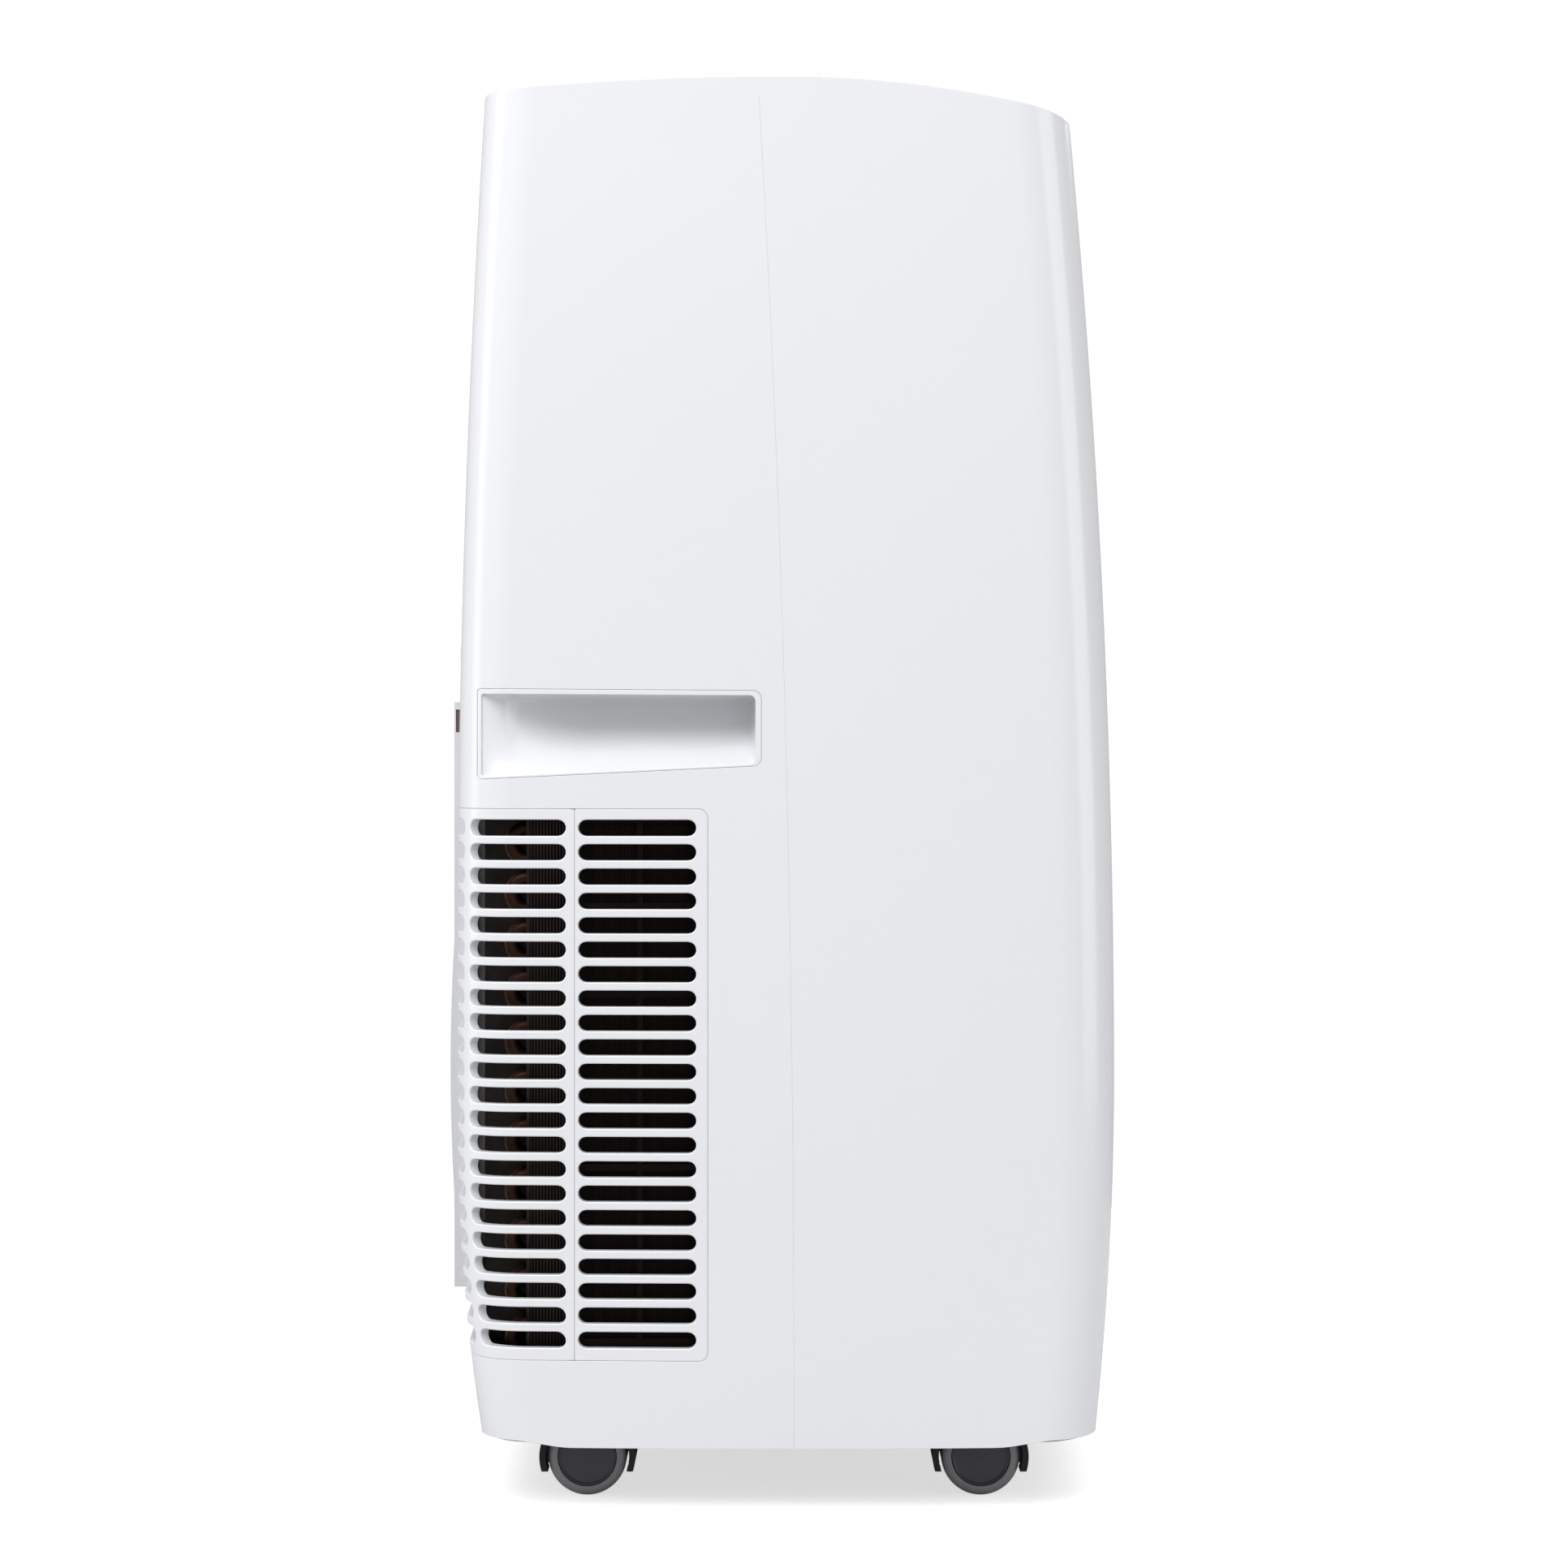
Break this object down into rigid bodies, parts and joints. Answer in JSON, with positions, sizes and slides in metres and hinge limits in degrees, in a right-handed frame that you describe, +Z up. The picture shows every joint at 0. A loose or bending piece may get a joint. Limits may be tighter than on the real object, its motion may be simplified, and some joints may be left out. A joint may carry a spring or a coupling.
{
  "type": "portable air conditioner",
  "caption": "Free-standing portable air conditioner with louvred outlet, side and rear grilles, hinged exhaust flap and intake door, hand holds and twin-wheel casters.",
  "frame": {"origin": "on the floor, under the middle of the object's box", "axes": "+Z up, +X to the object's left side (seen from behind it is on the right), the front with the air outlet faces -Y and the exhaust port faces +Y"},
  "size_m": [0.43, 0.3545, 0.7188],
  "materials": {
    "white_plastic": "glossy moulded",
    "pan_plastic": "moulded",
    "filter_mesh": "fine mesh",
    "insert_rubber": "smooth",
    "cap_rubber": "smooth",
    "screw_steel": "bright",
    "duct_plastic": "moulded",
    "panel_black": "glossy",
    "display": "tinted",
    "board": "solder mask",
    "button_plastic": "satin",
    "fin_aluminium": "fine fins",
    "tube_copper": "dulled copper",
    "plate_steel": "galvanised",
    "foam": "expanded foam",
    "wheel_plastic": "moulded",
    "motor_steel": "zinc plated",
    "compressor_black": "black paint",
    "fork_plastic": "moulded",
    "caster_grey": "moulded"
  },
  "bodies": {
    "housing": {"base_pan": "pan_plastic", "rear_shell": "white_plastic", "front_shell": "white_plastic", "top_cover": "white_plastic", "handle_cup_right": "white_plastic", "handle_cup_left": "white_plastic", "rear_grille": "white_plastic", "exhaust_frame": "white_plastic", "frame_insert": "insert_rubber", "cord_gland": "cap_rubber", "case_screws": "screw_steel", "outlet_frame": "duct_plastic", "control_panel": "panel_black", "display_window": "display", "control_board": "board", "divider_tray": "duct_plastic", "evaporator_fins": "fin_aluminium", "condenser_fins": "fin_aluminium", "coil_tubes": "tube_copper", "coil_end_plates": "plate_steel", "blower_scroll": "foam", "blower_motor": "motor_steel", "exhaust_scroll": "foam", "exhaust_motor": "motor_steel", "compressor": "compressor_black", "compressor_feet": "cap_rubber", "refrigerant_pipes": "tube_copper", "control_box": "plate_steel"},
    "side_panel_right": {"side_panel_right": "white_plastic", "side_filter_right": "filter_mesh"},
    "side_panel_left": {"side_panel_left": "white_plastic", "side_filter_left": "filter_mesh"},
    "intake_door": {"intake_door": "white_plastic", "intake_filter": "filter_mesh"},
    "exhaust_cover": {"exhaust_cover": "white_plastic"},
    "drain_cap_upper": {"drain_cap_upper": "cap_rubber"},
    "drain_cap_lower": {"drain_cap_lower": "cap_rubber"},
    "louvre_upper": {"louvre_upper": "white_plastic"},
    "louvre_middle": {"louvre_middle": "white_plastic"},
    "louvre_lower": {"louvre_lower": "white_plastic"},
    "vane_1": {"vane_1": "duct_plastic"},
    "vane_2": {"vane_2": "duct_plastic"},
    "vane_3": {"vane_3": "duct_plastic"},
    "vane_4": {"vane_4": "duct_plastic"},
    "blower_wheel": {"blower_wheel": "wheel_plastic"},
    "exhaust_wheel": {"exhaust_wheel": "wheel_plastic"},
    "button_power": {"button_power": "button_plastic"},
    "button_mode": {"button_mode": "button_plastic"},
    "button_fan": {"button_fan": "button_plastic"},
    "button_timer": {"button_timer": "button_plastic"},
    "button_up": {"button_up": "button_plastic"},
    "button_down": {"button_down": "button_plastic"},
    "caster_rear_right_fork": {"caster_rear_right_fork": "fork_plastic"},
    "caster_rear_right_wheels": {"caster_rear_right_wheels": "caster_grey"},
    "caster_rear_left_fork": {"caster_rear_left_fork": "fork_plastic"},
    "caster_rear_left_wheels": {"caster_rear_left_wheels": "caster_grey"},
    "caster_front_right_fork": {"caster_front_right_fork": "fork_plastic"},
    "caster_front_right_wheels": {"caster_front_right_wheels": "caster_grey"},
    "caster_front_left_fork": {"caster_front_left_fork": "fork_plastic"},
    "caster_front_left_wheels": {"caster_front_left_wheels": "caster_grey"}
  },
  "joints": [
    {"name": "side_panel_right_lift", "type": "slide", "parent": "housing", "child": "side_panel_right", "axis": [-1, 0, 0], "range_m": [0, 0.06]},
    {"name": "side_panel_left_lift", "type": "slide", "parent": "housing", "child": "side_panel_left", "axis": [1, 0, 0], "range_m": [0, 0.06]},
    {"name": "intake_door_hinge", "type": "hinge", "parent": "housing", "child": "intake_door", "pos_m": [0, 0.1484, 0.666], "axis": [1, 0, 0], "range_deg": [0, 75]},
    {"name": "exhaust_cover_hinge", "type": "hinge", "parent": "housing", "child": "exhaust_cover", "pos_m": [0, 0.1706, 0.318], "axis": [1, 0, 0], "range_deg": [0, 100]},
    {"name": "drain_cap_upper_pull", "type": "slide", "parent": "housing", "child": "drain_cap_upper", "axis": [0, 1, 0], "range_m": [0, 0.03]},
    {"name": "drain_cap_lower_pull", "type": "slide", "parent": "housing", "child": "drain_cap_lower", "axis": [0, 1, 0], "range_m": [0, 0.03]},
    {"name": "louvre_lower_tilt", "type": "hinge", "parent": "housing", "child": "louvre_lower", "pos_m": [0, -0.14378, 0.612], "axis": [1, 0, 0], "range_deg": [0, 80]},
    {"name": "louvre_middle_tilt", "type": "hinge", "parent": "housing", "child": "louvre_middle", "pos_m": [0, -0.14196, 0.635], "axis": [1, 0, 0], "range_deg": [0, 80]},
    {"name": "louvre_upper_tilt", "type": "hinge", "parent": "housing", "child": "louvre_upper", "pos_m": [0, -0.14005, 0.658], "axis": [1, 0, 0], "range_deg": [0, 80]},
    {"name": "vane_1_turn", "type": "hinge", "parent": "housing", "child": "vane_1", "pos_m": [-0.105, -0.108, 0.635], "axis": [0, 0, 1], "range_deg": [-45, 45]},
    {"name": "vane_2_turn", "type": "hinge", "parent": "housing", "child": "vane_2", "pos_m": [-0.035, -0.108, 0.635], "axis": [0, 0, 1], "range_deg": [-45, 45]},
    {"name": "vane_3_turn", "type": "hinge", "parent": "housing", "child": "vane_3", "pos_m": [0.035, -0.108, 0.635], "axis": [0, 0, 1], "range_deg": [-45, 45]},
    {"name": "vane_4_turn", "type": "hinge", "parent": "housing", "child": "vane_4", "pos_m": [0.105, -0.108, 0.635], "axis": [0, 0, 1], "range_deg": [-45, 45]},
    {"name": "blower_wheel_spin", "type": "hinge", "parent": "housing", "child": "blower_wheel", "pos_m": [0, 0.018, 0.48], "axis": [0, 1, 0], "continuous": true},
    {"name": "exhaust_wheel_spin", "type": "hinge", "parent": "housing", "child": "exhaust_wheel", "pos_m": [0.042, 0.045, 0.21], "axis": [1, 0, 0], "continuous": true},
    {"name": "button_power_press", "type": "slide", "parent": "housing", "child": "button_power", "axis": [0, 0.1377, -0.9905], "range_m": [0, 0.0015], "stiffness_N_per_m": 400, "springref_m": -0.0003},
    {"name": "button_mode_press", "type": "slide", "parent": "housing", "child": "button_mode", "axis": [0, 0.1377, -0.9905], "range_m": [0, 0.0015], "stiffness_N_per_m": 400, "springref_m": -0.0003},
    {"name": "button_fan_press", "type": "slide", "parent": "housing", "child": "button_fan", "axis": [0, 0.1377, -0.9905], "range_m": [0, 0.0015], "stiffness_N_per_m": 400, "springref_m": -0.0003},
    {"name": "button_timer_press", "type": "slide", "parent": "housing", "child": "button_timer", "axis": [0, 0.1377, -0.9905], "range_m": [0, 0.0015], "stiffness_N_per_m": 400, "springref_m": -0.0003},
    {"name": "button_up_press", "type": "slide", "parent": "housing", "child": "button_up", "axis": [0, 0.1377, -0.9905], "range_m": [0, 0.0015], "stiffness_N_per_m": 400, "springref_m": -0.0003},
    {"name": "button_down_press", "type": "slide", "parent": "housing", "child": "button_down", "axis": [0, 0.1377, -0.9905], "range_m": [0, 0.0015], "stiffness_N_per_m": 400, "springref_m": -0.0003},
    {"name": "caster_rear_right_swivel", "type": "hinge", "parent": "housing", "child": "caster_rear_right_fork", "pos_m": [-0.16, 0.091, 0.06], "axis": [0, 0, 1], "continuous": true},
    {"name": "caster_rear_right_roll", "type": "hinge", "parent": "caster_rear_right_fork", "child": "caster_rear_right_wheels", "pos_m": [-0.16, 0.1, 0.02], "axis": [1, 0, 0], "continuous": true},
    {"name": "caster_rear_left_swivel", "type": "hinge", "parent": "housing", "child": "caster_rear_left_fork", "pos_m": [0.16, 0.091, 0.06], "axis": [0, 0, 1], "continuous": true},
    {"name": "caster_rear_left_roll", "type": "hinge", "parent": "caster_rear_left_fork", "child": "caster_rear_left_wheels", "pos_m": [0.16, 0.1, 0.02], "axis": [1, 0, 0], "continuous": true},
    {"name": "caster_front_right_swivel", "type": "hinge", "parent": "housing", "child": "caster_front_right_fork", "pos_m": [-0.16, -0.091, 0.06], "axis": [0, 0, 1], "continuous": true},
    {"name": "caster_front_right_roll", "type": "hinge", "parent": "caster_front_right_fork", "child": "caster_front_right_wheels", "pos_m": [-0.16, -0.1, 0.02], "axis": [1, 0, 0], "continuous": true},
    {"name": "caster_front_left_swivel", "type": "hinge", "parent": "housing", "child": "caster_front_left_fork", "pos_m": [0.16, -0.091, 0.06], "axis": [0, 0, 1], "continuous": true},
    {"name": "caster_front_left_roll", "type": "hinge", "parent": "caster_front_left_fork", "child": "caster_front_left_wheels", "pos_m": [0.16, -0.1, 0.02], "axis": [1, 0, 0], "continuous": true}
  ],
  "couplings": [
    {"joint": "louvre_upper_tilt", "follows": "louvre_middle_tilt", "ratio": 1},
    {"joint": "louvre_lower_tilt", "follows": "louvre_middle_tilt", "ratio": 1},
    {"joint": "vane_2_turn", "follows": "vane_1_turn", "ratio": 1},
    {"joint": "vane_3_turn", "follows": "vane_1_turn", "ratio": 1},
    {"joint": "vane_4_turn", "follows": "vane_1_turn", "ratio": 1}
  ]
}
